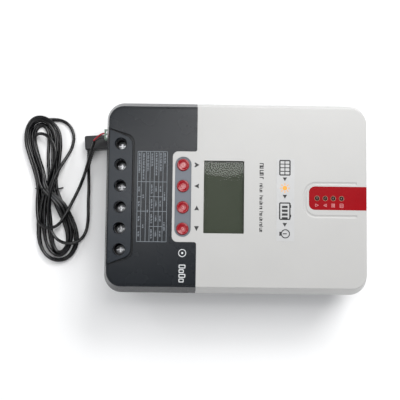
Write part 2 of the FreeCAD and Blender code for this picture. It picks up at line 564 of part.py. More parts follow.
def terminal_block():
    """One housing for each pole: room for the cage, a wire entry and a well for the screw."""
    housings, bars = [], []
    for y in TERMINAL_YS:
        block = box(BLOCK_X0, BLOCK_X1, y - BLOCK_HALF, y + BLOCK_HALF, POWER_Z1, BLOCK_TOP)
        housings.append(block.cut([
            box(-112.8, -96.8, y - CAGE_HALF - 0.3, y + CAGE_HALF + 0.3, 32.5, SHOULDER_Z0),
            box(BLOCK_X0 - 1, -112, y - 4.6, y + 4.6, 34.3, 41.6),
            box(-97, BLOCK_X1 + 1, y - BAR_HALF, y + BAR_HALF, BAR_Z0, BAR_Z1),
            cylinder(TERMINAL_X, y, SHOULDER_Z0 - 1, BLOCK_TOP, SCREW_R + 0.2),
            cylinder(TERMINAL_X, y, SHOULDER_Z1, BLOCK_TOP + 1, HEAD_R + 0.5),
        ]))
        bars.append(fuse([box(-112.6, -92.4, y - BAR_HALF, y + BAR_HALF, BAR_Z0, BAR_Z1),
                          box(-93.6, -92.4, y - BAR_HALF, y + BAR_HALF, POWER_Z1, BAR_Z1)]))
    save("terminal_block", *housings)
    save("terminal_bars", *bars)


def terminal_pole(index, y):
    """A clamping screw that turns in place, and the cage that it lifts."""
    head_z = SHOULDER_Z1 + 0.1
    top = head_z + HEAD_H
    head = cylinder(TERMINAL_X, y, head_z, top, HEAD_R)
    head = head.common(Part.makeSphere(HEAD_DOME_R, V(TERMINAL_X, y, top - HEAD_DOME_R)))
    shank = cylinder(TERMINAL_X, y, BAR_Z1 + 0.2, head_z, SCREW_R)
    recess = [box(TERMINAL_X - a, TERMINAL_X + a, y - b, y + b, top - 1.5, BLOCK_TOP + 1)
              for a, b in ((3.5, 0.55), (0.65, 2.3))]
    recess.append(Part.makeCone(0.5, 2.0, 1.7, V(TERMINAL_X, y, top - 1.6)))
    save("terminal_screw_%d" % index, fuse([head, shank]).cut(recess))

    cage = box(CAGE_X0, CAGE_X1, y - CAGE_HALF, y + CAGE_HALF, CAGE_Z0, CAGE_Z1)
    passage = box(CAGE_X0 - 1, CAGE_X1 + 1, y - PASSAGE_HALF, y + PASSAGE_HALF,
                  CAGE_Z0 + 1.6, CAGE_PLATE_Z)
    thread = cylinder(TERMINAL_X, y, CAGE_Z0 + 2, CAGE_Z1 + 1, SCREW_R + 0.06)
    save("terminal_clamp_%d" % index, cage.cut([passage, thread]))


# ---- Small sockets ------------------------------------------------------------------------
def sensor_socket():
    inner, outer = PLUG_HALF + 0.05, PLUG_HALF + 1.05
    header = box(-116.2, -104, PLUG_Y - outer, PLUG_Y + outer, POWER_Z1, 42.5)
    header = header.cut(box(-117, -105.6, PLUG_Y - inner, PLUG_Y + inner, 32.8, 41.4))
    save("sensor_header", header)

    plug = box(PLUG_X0, PLUG_X1, PLUG_Y - PLUG_HALF, PLUG_Y + PLUG_HALF, PLUG_Z0, PLUG_Z1)
    ys = [PLUG_Y - PLUG_PITCH / 2, PLUG_Y + PLUG_PITCH / 2]
    cuts = [Part.makeCylinder(1.5, 3, V(PLUG_X0 - 0.1, y, PLUG_WIRE_Z), V(1, 0, 0)) for y in ys]
    cuts += [cylinder(PLUG_SCREW_X, y, 39.4, 42, PLUG_SCREW_R + 0.1) for y in ys]
    save("sensor_plug", plug.cut(cuts))
    screws = []
    for y in ys:
        screw = cylinder(PLUG_SCREW_X, y, 39.4, 40.7, PLUG_SCREW_R)
        slot = box(PLUG_SCREW_X - 1.6, PLUG_SCREW_X + 1.6, y - 0.3, y + 0.3, 40.2, 42)
        screws.append(screw.cut(slot))
    save("plug_screws", *screws)

    port = box(-116.3, -101, PORT_Y - PORT_HALF, PORT_Y + PORT_HALF, POWER_Z1, PORT_TOP)
    mouth = box(-117, -104, PORT_Y - 4.9, PORT_Y + 4.9, 34.2, 41.4)
    latch = box(-117, -108, PORT_Y - 1.7, PORT_Y + 1.7, 41, 43.2)
    save("comm_port", port.cut([mouth, latch]))


# ---- Cord and probe -----------------------------------------------------------------------
def hank_outline(middle_line, grow):
    """Smooth closed face around a clockwise turn, wider than its middle line."""
    outer = []
    for i, (x, y) in enumerate(middle_line):
        before, after = middle_line[i - 1], middle_line[(i + 1) % len(middle_line)]
        along = V(after[0] - before[0], after[1] - before[1], 0).normalize()
        outer.append(V(x - along.y * grow, y + along.x * grow, 0))
    curve = Part.BSplineCurve()
    curve.interpolate(outer, PeriodicFlag=True)
    return Part.Face(Part.Wire(curve.toShape()))


def cord():
    for name, route in CORE_ROUTES.items():
        save(name, cord_tube(name, route, CORE_R))
    save("lead_plug_side", cord_tube("lead_plug_side", PLUG_SIDE_ROUTE, CORD_R))
    save("lead_probe_side", cord_tube("lead_probe_side", PROBE_SIDE_ROUTE, CORD_R))

    outline = hank_outline(HANK_OUTER, CORD_R)
    waist = outline.extrude(V(0, 0, WAIST_TOP)).common(box(-200, -160, -9, 30, 0, WAIST_TOP))
    save("cord_hank", fuse([outline.extrude(V(0, 0, HANK_TOP)), waist]))

    band = plate(rectangle(TIE_X0, TIE_X1, 0.05, WAIST_TOP + 0.6, 2.5), 0, 2 * TIE_R)
    band = band.cut(plate(rectangle(TIE_X0 + TIE_R, TIE_X1 - TIE_R, 0.55, WAIST_TOP - 0.2, 2.1), -1, 3))
    band.rotate(V(0, 0, 0), V(1, 0, 0), 90)
    band.translate(V(0, TIE_Y + TIE_R, 0))
    tails = [Part.makeCylinder(TIE_R, TIE_TAIL, V(TIE_X1 - TIE_R, TIE_Y, 4.0), V(3, lean, 0.3))
             for lean in (-0.7, 0.7)]
    save("hank_tie", fuse([band] + tails))


def probe():
    """Temperature probe: a small moulded block that the cord enters from the side."""
    long, wide, thick = PROBE_SIZE
    block = plate(rectangle(0, long, -wide, 0, 1.5), 0, thick)
    block = block.makeFillet(1.2, [e for e in block.Edges if e.BoundBox.ZMin > thick - 0.01])
    block.rotate(V(0, 0, 0), V(0, 0, 1), PROBE_TILT)
    block.translate(V(PROBE_CORNER[0], PROBE_CORNER[1], 0))
    save("sensor_probe", block)

    rings = []
    for x, y, z, r in ((-141.2, 50.2, 5.4, 4.2), (-142.2, 43.2, 5.2, 2.6), (-143.0, 36.2, 4.4, 2.0)):
        rings.append(Part.Wire(Part.makeCircle(r, V(x, y, z), V(-0.12, -1, 0))))
    relief = Part.makeLoft(rings, True, False)
    save("probe_strain_relief", relief.cut(block))


def main():
    os.makedirs("parts", exist_ok=True)
    heatsink_base()
    case_screws()
    shell = cover_shell()
    upper_cover(shell)
    lower_cover(shell)
    terminal_cover()
    front_panel()
    for index, y in enumerate(BUTTON_YS, start=1):
        button(index, y)
    tact_switches()
    boards()
    power_parts()
    terminal_block()
    for index, y in enumerate(TERMINAL_YS, start=1):
        terminal_pole(index, y)
    sensor_socket()
    cord()
    probe()


main()
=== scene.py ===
import json
import math

import bmesh
import bpy
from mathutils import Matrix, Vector


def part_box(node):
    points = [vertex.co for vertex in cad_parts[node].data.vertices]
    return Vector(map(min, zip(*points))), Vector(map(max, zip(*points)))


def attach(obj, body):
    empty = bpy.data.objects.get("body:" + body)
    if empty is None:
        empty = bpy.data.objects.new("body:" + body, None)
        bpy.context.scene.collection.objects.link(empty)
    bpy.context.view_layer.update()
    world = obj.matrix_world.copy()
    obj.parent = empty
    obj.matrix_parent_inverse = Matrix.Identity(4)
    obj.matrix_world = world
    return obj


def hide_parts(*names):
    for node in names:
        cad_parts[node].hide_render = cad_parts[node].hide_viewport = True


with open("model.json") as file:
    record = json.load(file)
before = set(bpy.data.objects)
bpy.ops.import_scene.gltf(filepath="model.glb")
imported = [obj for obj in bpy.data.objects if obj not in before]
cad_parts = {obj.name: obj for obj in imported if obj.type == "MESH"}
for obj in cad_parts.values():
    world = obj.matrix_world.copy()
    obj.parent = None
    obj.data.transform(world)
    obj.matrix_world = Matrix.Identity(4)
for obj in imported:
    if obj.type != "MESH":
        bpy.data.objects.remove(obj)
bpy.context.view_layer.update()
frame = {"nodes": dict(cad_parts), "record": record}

NODES = frame["nodes"]
MM = 0.001


# ---- Camera, light and floor --------------------------------------------------------------
CAMERA_AT = (-0.03846, -0.05105, 0.7052)
CAMERA_TURN = (0.0752, -0.0092, 0.0126)
CAMERA_LENS, SENSOR = 64.135, 36.0
# The studio room's brightness: (place, level), where 0 is the horizon and 1 is overhead. The
# tilt lowers the bright belt at the back and the right.
WORLD_BELT = [(0.0, 0.34), (0.40, 1.0), (0.62, 1.0), (0.84, 0.05)]
WORLD_TILT = (0.24, 0.30, 1.0)
WORLD_COLOUR, WORLD_STRENGTH = (0.97, 0.98, 1.0), 1.18
# Name, place, target, size and power in watts.
SOFTBOXES = [
    ("softbox_key", (0.46, 0.72, 0.95), (0, 0, 0.03), (0.7, 0.4), 9.6),
    ("softbox_over", (0.18, 0.42, 1.3), (0.18, 0.42, 0), (0.54, 0.5), 5.6),
    ("softbox_mid", (-0.23, 0.13, 1.3), (-0.23, 0.13, 0), (0.34, 0.28), 1.5),
    ("softbox_left", (-0.75, 0.5, 0.8), (-0.18, 0, 0), (0.16, 0.16), 0.5),
]
FLOOR_HALF = 3.0


def add_object(name, data):
    made = bpy.data.objects.new(name, data)
    bpy.context.scene.collection.objects.link(made)
    return made


def add_camera():
    data = bpy.data.cameras.new("camera")
    data.lens, data.sensor_width = CAMERA_LENS, SENSOR
    data.clip_start, data.clip_end = 0.05, 20
    camera = add_object("camera", data)
    camera.location, camera.rotation_euler = CAMERA_AT, CAMERA_TURN
    bpy.context.scene.camera = camera


def add_area_light(name, at, target, size, power):
    data = bpy.data.lights.new(name, "AREA")
    data.shape, data.energy = "RECTANGLE", power
    data.size, data.size_y = size
    light = add_object(name, data)
    light.location = at
    light.rotation_euler = (Vector(target) - Vector(at)).to_track_quat("-Z", "Y").to_euler()


def add_world():
    """Studio room: bright half way up its walls, dim at the horizon and dark overhead."""
    world = bpy.data.worlds.new("studio")
    world.use_nodes = True
    tree = world.node_tree
    place = tree.nodes.new("ShaderNodeTexCoord")
    tilt = tree.nodes.new("ShaderNodeVectorMath")
    tilt.operation = "DOT_PRODUCT"
    tilt.inputs[1].default_value = WORLD_TILT
    ramp = tree.nodes.new("ShaderNodeValToRGB")
    bands = ramp.color_ramp.elements
    bands[0].position, bands[1].position = WORLD_BELT[0][0], WORLD_BELT[-1][0]
    for position, _ in WORLD_BELT[1:-1]:
        bands.new(position)
    for band, (_, level) in zip(bands, WORLD_BELT):
        band.color = (*(level * channel for channel in WORLD_COLOUR), 1)
    background = tree.nodes["Background"]
    background.inputs["Strength"].default_value = WORLD_STRENGTH
    tree.links.new(place.outputs["Generated"], tilt.inputs[0])
    tree.links.new(tilt.outputs["Value"], ramp.inputs["Fac"])
    tree.links.new(ramp.outputs["Color"], background.inputs["Color"])
    bpy.context.scene.world = world


def add_floor():
    mesh = bpy.data.meshes.new("floor")
    low, high = -FLOOR_HALF, FLOOR_HALF
    mesh.from_pydata([(low, low, 0), (high, low, 0), (high, high, 0), (low, high, 0)],
                     [], [(0, 1, 2, 3)])
    floor = add_object("floor", mesh)
    mesh.materials.append(Shader("floor_white", (0.96, 0.96, 0.96), roughness=0.8).material)


def add_studio():
    add_world()
    for softbox in SOFTBOXES:
        add_area_light(*softbox)
    bpy.context.scene.view_settings.view_transform = "Standard"


# ---- Materials ----------------------------------------------------------------------------
NOISE_LOW, NOISE_HIGH = 0.3, 0.7        # the noise texture seldom leaves this range
WAVE_RADIANS = 20                       # phase of the wave texture in one unit at scale 1


class Shader:
    """A principled material with a few procedural layers, placed by object coordinates."""

    def __init__(self, name, colour, roughness=0.5, metallic=0.0, **sockets):
        self.name = name
        self.material = bpy.data.materials.new(name)
        self.material.use_nodes = True
        self.tree = self.material.node_tree
        self.base = self.tree.nodes["Principled BSDF"]
        self.base.inputs["Base Color"].default_value = (*colour, 1)
        self.base.inputs["Roughness"].default_value = roughness
        self.base.inputs["Metallic"].default_value = metallic
        for socket, value in sockets.items():
            self.base.inputs[socket.replace("_", " ")].default_value = value
        self.colour = colour
        self.roughness = roughness
        self.bump = None

    def node(self, kind, **inputs):
        made = self.tree.nodes.new(kind)
        for key, value in inputs.items():
            made.inputs[key.replace("_", " ")].default_value = value
        return made

    def link(self, output, target):
        self.tree.links.new(output, target)

    def place(self):
        return self.tree.nodes.new("ShaderNodeTexCoord").outputs["Object"]

    def noise(self, scale, detail=2.0, roughness=0.5):
        made = self.node("ShaderNodeTexNoise", Scale=scale, Detail=detail, Roughness=roughness)
        self.link(self.place(), made.inputs["Vector"])
        return made.outputs["Fac"]

    def between(self, factor, low, high):
        """A factor, such as a noise, spread from low to high."""
        made = self.node("ShaderNodeMapRange", From_Min=NOISE_LOW, From_Max=NOISE_HIGH,
                         To_Min=low, To_Max=high)
        self.link(factor, made.inputs["Value"])
        return made.outputs["Result"]

    def blend_colours(self, factor, first, second):
        mix = self.tree.nodes.new("ShaderNodeMix")
        mix.data_type = "RGBA"
        mix.inputs["A"].default_value, mix.inputs["B"].default_value = (*first, 1), (*second, 1)
        self.link(factor, mix.inputs["Factor"])
        self.link(mix.outputs["Result"], self.base.inputs["Base Color"])

    def mottle(self, amount, scale):
        """Slow variation of the base colour."""
        darker = tuple(c * (1 - amount) for c in self.colour)
        self.blend_colours(self.between(self.noise(scale, detail=4), 0, 1), darker, self.colour)
        return self

    def uneven_gloss(self, spread, scale):
        """Slow variation of the roughness."""
        low, high = self.roughness - spread, self.roughness + spread
        varied = self.between(self.noise(scale, detail=3), low, high)
        self.link(varied, self.base.inputs["Roughness"])
        return self

    def push_bump(self, height, depth):
        """Adds a bump layer on top of those that are there; depth in metres."""
        bump = self.node("ShaderNodeBump", Strength=1.0, Distance=depth)
        self.link(height, bump.inputs["Height"])
        if self.bump:
            self.link(self.bump.outputs["Normal"], bump.inputs["Normal"])
        self.link(bump.outputs["Normal"], self.base.inputs["Normal"])
        self.bump = bump
        return self

    def grain(self, scale, depth, detail=2.0):
        """Fine bumps of a moulded or cast surface."""
        return self.push_bump(self.noise(scale, detail), depth)

    def stripes(self, spacing, depth):
        """Parallel tool or draw marks, evenly spaced along X."""
        scale = 2 * math.pi / spacing / WAVE_RADIANS
        wave = self.node("ShaderNodeTexWave", Scale=scale, Distortion=0.6)
        wave.bands_direction = "X"
        self.link(self.place(), wave.inputs["Vector"])
        return self.push_bump(wave.outputs["Fac"], depth)


def dress(shader, *names):
    for name in names:
        mesh = NODES[name].data
        mesh.materials.clear()
        mesh.materials.append(shader.material)


def moulded(name, colour, roughness, tone, texture=0.012, gloss=0.45):
    """Satin injection-moulded plastic with a fine spark-eroded texture, in millimetres."""
    shader = Shader(name, colour, roughness, Specular_IOR_Level=gloss)
    shader.mottle(tone, scale=28).uneven_gloss(0.014, scale=45)
    return shader.grain(2600, texture * MM, detail=3)


def glossy(name, colour, roughness, **sockets):
    """Polished plastic, film or lacquer."""
    shader = Shader(name, colour, roughness, **sockets)
    shader.mottle(0.08, scale=90).uneven_gloss(0.03, scale=120)
    return shader.grain(700, 0.002 * MM)


def metal(name, colour, roughness):
    """Drawn or turned bare metal."""
    shader = Shader(name, colour, roughness, metallic=1.0)
    shader.mottle(0.12, scale=160).uneven_gloss(0.06, scale=210)
    return shader.stripes(0.25 * MM, 0.004 * MM)


def rubbery(name, colour, roughness, gloss=0.5):
    """Soft sheath or pad."""
    shader = Shader(name, colour, roughness, Specular_IOR_Level=gloss)
    shader.mottle(0.15, scale=120).uneven_gloss(0.07, scale=160)
    return shader.grain(1500, 0.01 * MM, detail=3)


def ink(name, colour):
    shader = Shader(name, colour, roughness=0.45)
    shader.mottle(0.12, scale=900)
    return shader.grain(3000, 0.004 * MM)


def cast_metal():
    """Black anodised die casting with a coarse skin."""
    shader = Shader("cast_aluminium", (0.036, 0.039, 0.043), 0.46, metallic=0.35)
    shader.mottle(0.3, scale=60).uneven_gloss(0.08, scale=90)
    return shader.grain(420, 0.05 * MM, detail=6)


def solder_mask():
    """Green board with a faint pattern of tracks."""
    mask, light_mask, track = (0.012, 0.10, 0.04), (0.014, 0.12, 0.05), (0.03, 0.19, 0.08)
    shader = Shader("board_green", mask, 0.3, Coat_Weight=0.4)
    brick = shader.node("ShaderNodeTexBrick", Scale=180.0, Mortar_Size=0.06,
                        Color1=(*mask, 1), Color2=(*light_mask, 1), Mortar=(*track, 1))
    shader.link(shader.place(), brick.inputs["Vector"])
    shader.link(brick.outputs["Color"], shader.base.inputs["Base Color"])
    return shader.push_bump(brick.outputs["Fac"], 0.02 * MM)


def make_shaders():
    """Every shader by its name: the record's slots, the inks of the prints, and the near-black of
    the painted shade along the seam.
    """
    shaders = [
        cast_metal(),
        moulded("light_plastic", (0.465, 0.462, 0.452), 0.36, tone=0.025),
        moulded("dark_plastic", (0.0060, 0.0084, 0.0118), 0.27, tone=0.05, gloss=0.28),
        moulded("slate_plastic", (0.0098, 0.0140, 0.0200), 0.28, tone=0.05, gloss=0.28),
        glossy("window_clear", (0.080, 0.094, 0.068), 0.05, Alpha=0.42, Specular_IOR_Level=0.34),
        moulded("lcd_olive", (0.0255, 0.0325, 0.019), 0.34, tone=0.1, texture=0.004),
        moulded("strip_grey", (0.124, 0.139, 0.164), 0.4, tone=0.06),
        glossy("button_red", (0.275, 0.001, 0.008), 0.2, Coat_Weight=0.25, Coat_Roughness=0.1),
        glossy("label_red", (0.275, 0.0, 0.004), 0.34, Specular_IOR_Level=0.1),
        glossy("sticker_film", (0.49, 0.492, 0.492), 0.36),
        glossy("led_body", (0.055, 0.022, 0.014), 0.1, Coat_Weight=0.6),
        solder_mask(),
        moulded("part_black", (0.014, 0.014, 0.016), 0.4, tone=0.15),
        glossy("capacitor_can", (0.02, 0.028, 0.06), 0.25),
        moulded("core_iron", (0.06, 0.065, 0.055), 0.6, tone=0.3, texture=0.05),
        metal("copper_wire", (0.72, 0.28, 0.12), 0.25),
        metal("plated_brass", (0.74, 0.68, 0.54), 0.28),
        metal("steel_bright", (0.86, 0.87, 0.89), 0.44).grain(420, 0.07 * MM),
        metal("steel_dark", (0.07, 0.07, 0.075), 0.4),
        metal("bar_aluminium", (0.66, 0.67, 0.69), 0.36),
        rubbery("pad_grey", (0.30, 0.33, 0.36), 0.6),
        moulded("plug_green", (0.22, 0.33, 0.25), 0.34, tone=0.1),
        rubbery("cord_black", (0.0032, 0.0032, 0.0038), 0.17, gloss=0.42),
        rubbery("core_red", (0.42, 0.012, 0.025), 0.32),
        rubbery("core_black", (0.008, 0.008, 0.009), 0.34),
        ink("ink_pale", (0.24, 0.27, 0.30)),
        ink("ink_grey", (0.20, 0.225, 0.255)),
        # Near-black with almost no gloss: painted shade along the terminal cover's seam.
        moulded("seam_painted_shade", (0.0014, 0.0016, 0.0022), 0.6, tone=0.1, texture=0.01, gloss=0.05),
        ink("ink_white", (0.75, 0.77, 0.78)),
        ink("ink_black", (0.012, 0.012, 0.013)),
        ink("ink_tan", (0.42, 0.20, 0.13)),
        ink("ink_pink", (0.58, 0.22, 0.23)),
        ink("ink_orange", (0.85, 0.36, 0.04)),
        moulded("probe_black", (0.009, 0.010, 0.012), 0.36, tone=0.15, texture=0.02),
    ]
    return {shader.name: shader for shader in shaders}


def level_shading(*names):
    """Keeps the shading of large flat faces free of their small rounded edges."""
    for name in names:
        modifier = NODES[name].modifiers.new("level_shading", "WEIGHTED_NORMAL")
        modifier.keep_sharp = True


def dress_cad_nodes(shaders):
    for subpart in frame["record"]["subparts"]:
        dress(shaders[subpart["material_slot"]], subpart["node"])


def finish_piece(piece, shaders, slot, body, *replaced):
    """Material, body and slot of a new piece, and the CAD nodes that it stands for."""
    piece.data.materials.append(shaders[slot].material)
    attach(piece, body)
    if replaced:
        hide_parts(*replaced)
    return piece


# ---- Mesh helpers -------------------------------------------------------------------------
def mesh_object(name, bm, smooth):
    """A new object from a bmesh, smooth where faces meet at less than this many degrees."""
    bmesh.ops.recalc_face_normals(bm, faces=bm.faces)
    limit = math.radians(smooth)
    for face in bm.faces:
        face.smooth = True
    for edge in bm.edges:
        edge.smooth = len(edge.link_faces) == 2 and edge.calc_face_angle(0) < limit
    mesh = bpy.data.meshes.new(name)
    bm.to_mesh(mesh)
    bm.free()
    return add_object(name, mesh)


def level_ring(bm, centre, radius, z, sides):
    """Level circle of vertices round the centre's x and y."""
    return [bm.verts.new((centre[0] + radius * math.cos(2 * math.pi * k / sides),
                          centre[1] + radius * math.sin(2 * math.pi * k / sides), z))
            for k in range(sides)]


def join_rings(bm, first, second):
    """Belt of quads between two closed rings with the same number of vertices."""
    for k in range(len(first)):
        n = (k + 1) % len(first)
        bm.faces.new((first[k], first[n], second[n], second[k]))


def middle(node):
    """Centre of a CAD node's box, x and y, with its lowest and highest z."""
    low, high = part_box(node)
    return ((low.x + high.x) / 2, (low.y + high.y) / 2), low.z, high.z


# ---- Cord ---------------------------------------------------------------------------------
# Metres. The routes run along the middle of the cord, from the plug to the probe.
CORD_R = 1.55 * MM
CORE_R = 0.8 * MM
PLUG_SIDE_ROUTE = [
    (-0.1342, 0.0550, 0.0305), (-0.1392, 0.0446, 0.0195), (-0.1436, 0.0342, 0.0096),
    (-0.1478, 0.0232, 0.0036), (-0.1528, 0.0106, 0.0026), (-0.1584, -0.0028, 0.0066),
    (-0.1642, -0.0154, 0.0098), (-0.1702, -0.0258, 0.0116), (-0.1808, -0.0289, 0.0118),
    (-0.1902, -0.0229, 0.0092), (-0.1922, -0.0109, 0.0070), (-0.1927, 0.0016, 0.0052),
]
PROBE_SIDE_ROUTE = [
    (-0.1846, 0.0800, 0.0024), (-0.1766, 0.0808, 0.0016), (-0.1674, 0.0784, 0.0016),
    (-0.1608, 0.0714, 0.0016), (-0.1584, 0.0620, 0.0016), (-0.1604, 0.0512, 0.0022),
    (-0.1654, 0.0409, 0.0066), (-0.1709, 0.0307, 0.0104), (-0.1756, 0.0194, 0.0118),
    (-0.1787, 0.0070, 0.0118), (-0.1802, -0.0054, 0.0108), (-0.1804, -0.0182, 0.0086),
    (-0.1784, -0.0298, 0.0081), (-0.1716, -0.0396, 0.0084), (-0.1606, -0.0434, 0.0088),
    (-0.1504, -0.0406, 0.0060), (-0.1444, -0.0320, 0.0020), (-0.1426, -0.0184, 0.0016),
    (-0.1431, -0.0020, 0.0016), (-0.1427, 0.0140, 0.0017), (-0.1433, 0.0260, 0.0026),
    (-0.1430, 0.0362, 0.0044),
]
CORE_ROUTES = {
    "red": [
        (-0.1210, 0.061805, 0.0371), (-0.1264, 0.0612, 0.0374), (-0.1308, 0.0582, 0.0352),
        (-0.1349, 0.0554, 0.0306),
    ],
    "black": [
        (-0.1210, 0.057995, 0.0371), (-0.1262, 0.0574, 0.0366), (-0.1306, 0.0562, 0.0336),
        (-0.1335, 0.0546, 0.0306),
    ],
}
# The hank's outermost and innermost turn, clockwise from the left of the waist.
HANK_OUTER = [
    (-0.1920, 0.0110), (-0.1956, 0.0260), (-0.2014, 0.0410), (-0.2066, 0.0560), (-0.2064, 0.0704),
    (-0.2004, 0.0810), (-0.1906, 0.0830), (-0.1812, 0.0778), (-0.1738, 0.0694), (-0.1712, 0.0564),
    (-0.1718, 0.0406), (-0.1726, 0.0250), (-0.1724, 0.0110), (-0.1664, -0.0014),
    (-0.1582, -0.0160), (-0.1522, -0.0316), (-0.1526, -0.0454), (-0.1606, -0.0570),
    (-0.1726, -0.0602), (-0.1848, -0.0544), (-0.1914, -0.0410), (-0.1922, -0.0224),
    (-0.1912, -0.0050),
]
HANK_INNER = [
    (-0.1841, 0.0110), (-0.1864, 0.0260), (-0.1923, 0.0410), (-0.1966, 0.0560), (-0.1974, 0.0655),
    (-0.1944, 0.0720), (-0.1896, 0.0740), (-0.1854, 0.0700), (-0.1836, 0.0620), (-0.1835, 0.0520),
    (-0.1836, 0.0400), (-0.1828, 0.0250), (-0.1814, 0.0110), (-0.1766, -0.0040),
    (-0.1700, -0.0180), (-0.1664, -0.0300), (-0.1660, -0.0404), (-0.1686, -0.0476),
    (-0.1718, -0.0486), (-0.1740, -0.0420), (-0.1756, -0.0320), (-0.1774, -0.0180),
    (-0.1800, -0.0040),
]
# Upper reach of the shortest turn, which crosses the upper lobe's hole over the other turns.
SHORT_REACH = [
    (-0.1871, 0.0260, 0.0066), (-0.1925, 0.0410, 0.0048), (-0.1966, 0.0520, 0.0047),
    (-0.1979, 0.0606, 0.0050), (-0.1950, 0.0650, 0.0058), (-0.1891, 0.0656, 0.0068),
    (-0.1827, 0.0624, 0.0077), (-0.1775, 0.0558, 0.0078), (-0.1746, 0.0470, 0.0078),
    (-0.1754, 0.0376, 0.0077), (-0.1794, 0.0272, 0.0062),
]
# Points in a turn; the point at the waist's right; the point where the last turn is left.
RING, WAIST_STEP, LEAVE_STEP = len(HANK_OUTER), 12, 5
COLUMNS, TOP_TURNS, ROUND_TURNS = 4, 3, 4
LAYER = 2 * CORD_R
FLOOR_Z, TOP_Z = CORD_R, 3 * CORD_R     # middle of the strands in the two layers
TIE_X, TIE_Y, WAIST_PITCH = -0.1827, 0.011, 2.7 * MM
STRAY = 0.26                            # furthest that a strand strays, in columns


def ease(value, start, end):
    """Rises smoothly from 0 at the start to 1 at the end."""
    t = min(max((value - start) / (end - start), 0), 1)
    return t * t * (3 - 2 * t)


def ring_place(index, column):
    """Point of the hank's ring, from its outermost column, 0, to its innermost."""
    share = column / (COLUMNS - 1)
    outer, inner = HANK_OUTER[index % RING], HANK_INNER[index % RING]
    return [a + (b - a) * share for a, b in zip(outer, inner)]


def wander(index, turn):
    """How far a turn strays from its column: nothing at the waist, most round the lobes."""
    lobe = abs(math.sin(2 * math.pi * index / RING))
    return STRAY * lobe * math.sin(2.3 * turn + 0.55 * index)


def figure_eight_turn(turn):
    """A turn of the top layer: round the upper lobe, across the waist, round the lower lobe
    the other way, and back across the waist over the strands that went down.

    The way back up needs no point of its own; its step only counts towards the turn's length.
    """
    last = turn == TOP_TURNS - 1
    path = [("upper", i) for i in range(WAIST_STEP)] + [("down", 0)]
    path += [("lower", i) for i in range(RING - 1, WAIST_STEP, -1)] + [("up", 0)]
    points = []
    for order, (part, index) in enumerate(path):
        column = turn + ease(order / len(path), 0.3, 0.9)
        if part == "upper" and last and 0 < index:
            points.append(SHORT_REACH[index - 1])
        elif part == "upper":
            rise = LAYER * (1 - ease(index, 0.6, 2.0)) if turn else 0
            points.append((*ring_place(index, column + wander(index, turn)), TOP_Z + rise))
        elif part == "lower":
            rise = LAYER * ease(WAIST_STEP + 3 - index, 0.6, 2.0)
            place = ring_place(index, COLUMNS - 1 - column + wander(index, turn + 4))
            points.append((*place, TOP_Z + rise))
        elif part == "down":
            x = TIE_X - (column - (COLUMNS - 1) / 2) * WAIST_PITCH
            points.append((x, TIE_Y, TOP_Z))
    return points


def round_turn(turn):
    """A turn of the bottom layer, which drifts from its column to the next one out."""
    points = []
    for index in range(RING):
        column = COLUMNS - 1 - turn - ease(index / RING, 0.35, 0.95)
        stray = wander(index, turn + 9) * ease(column, 0, 0.8)
        rise = 2 * LAYER * (1 - ease(index, 0, 3)) if turn == 0 else 0
        points.append((*ring_place(index, max(column, 0) + stray), FLOOR_Z + rise))
    return points


def cord_points():
    """Control points of the whole cord; its last turn ends where the probe's side leaves it."""
    points = list(PLUG_SIDE_ROUTE)
    for turn in range(TOP_TURNS):
        points += figure_eight_turn(turn)
    for turn in range(ROUND_TURNS):
        points += round_turn(turn)
    leave = len(points) - RING + LEAVE_STEP + 1
    return points[:leave] + PROBE_SIDE_ROUTE


def smooth_cord(name, points, radius):
    """A round cord on a smooth spline, with the points as its control points."""
    data = bpy.data.curves.new(name, "CURVE")
    data.dimensions = "3D"
    spline = data.splines.new("NURBS")
    spline.points.add(len(points) - 1)
    for point, place in zip(spline.points, points):
        point.co = (*place, 1)
    spline.order_u = 3
    spline.use_endpoint_u = True
    data.resolution_u = 8
    data.bevel_depth, data.bevel_resolution, data.use_fill_caps = radius, 5, True
    return add_object(name, data)


TIE_R, TIE_WIDTH = 0.5 * MM, 22.6 * MM
TIE_LEAN = 1.2 * MM                     # sideways, over the loop and again over its ends
TWIST_R, TWIST_LENGTH, TWIST_ANGLE = 0.52 * MM, 4.2 * MM, 3 * math.pi
TWIST_Z, TWIST_SAG = 4.2 * MM, 0.8 * MM


def tie_loop(left, right, top):
    """The tie's loop, a flat one with full corners, a little longer than a whole turn."""
    round_steps, steps = 36, 40
    points = []
    for i in range(steps):
        turn = 2 * math.pi * i / round_steps
        across, up = math.cos(turn), math.sin(turn)
        sx = math.copysign(abs(across) ** 0.55, across)
        sz = math.copysign(abs(up) ** 0.4, up)
        x = (left + right) / 2 + (right - left) / 2 * sx
        z = top / 2 + TIE_R / 2 + (top - TIE_R) / 2 * sz
        points.append((x, TIE_Y + (i / steps - 0.5) * TIE_LEAN, z))
    return smooth_cord("tie_loop", points, TIE_R)


def tie_end(index, start):
    """One of the two ends of the tie, which wind round each other."""
    steps = 29
    helix = []
    for i in range(steps + 1):
        along, angle = i / steps, math.pi * index + i / steps * TWIST_ANGLE
        helix.append((start + along * TWIST_LENGTH,
                      TIE_Y + TWIST_R * math.cos(angle) + along * TIE_LEAN,
                      TWIST_Z + TWIST_R * math.sin(angle) - along * TWIST_SAG))
    return smooth_cord("tie_end_%d" % index, helix, TIE_R * 0.85)


def tie_wire(shaders):
    """Wire tie round the waist, its two ends twisted together."""
    low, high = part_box("hank_tie")
    right = low.x + TIE_WIDTH
    loop = tie_loop(low.x, right, high.z - TIE_R)
    twists = [tie_end(index, right - 0.3 * MM) for index in (0, 1)]
    finish_piece(loop, shaders, "cord_black", "controller", "hank_tie")
    for twist in twists:
        finish_piece(twist, shaders, "cord_black", "controller")
    return [loop] + twists


RELIEF_FROM = Vector((-0.1412, 0.0502, 0.0054))
RELIEF_R, RELIEF_TAPER = 4.2 * MM, 2.25 * MM
RELIEF_GROOVES, GROOVE_FROM, GROOVE_DEPTH = 7, 0.62, 0.42 * MM


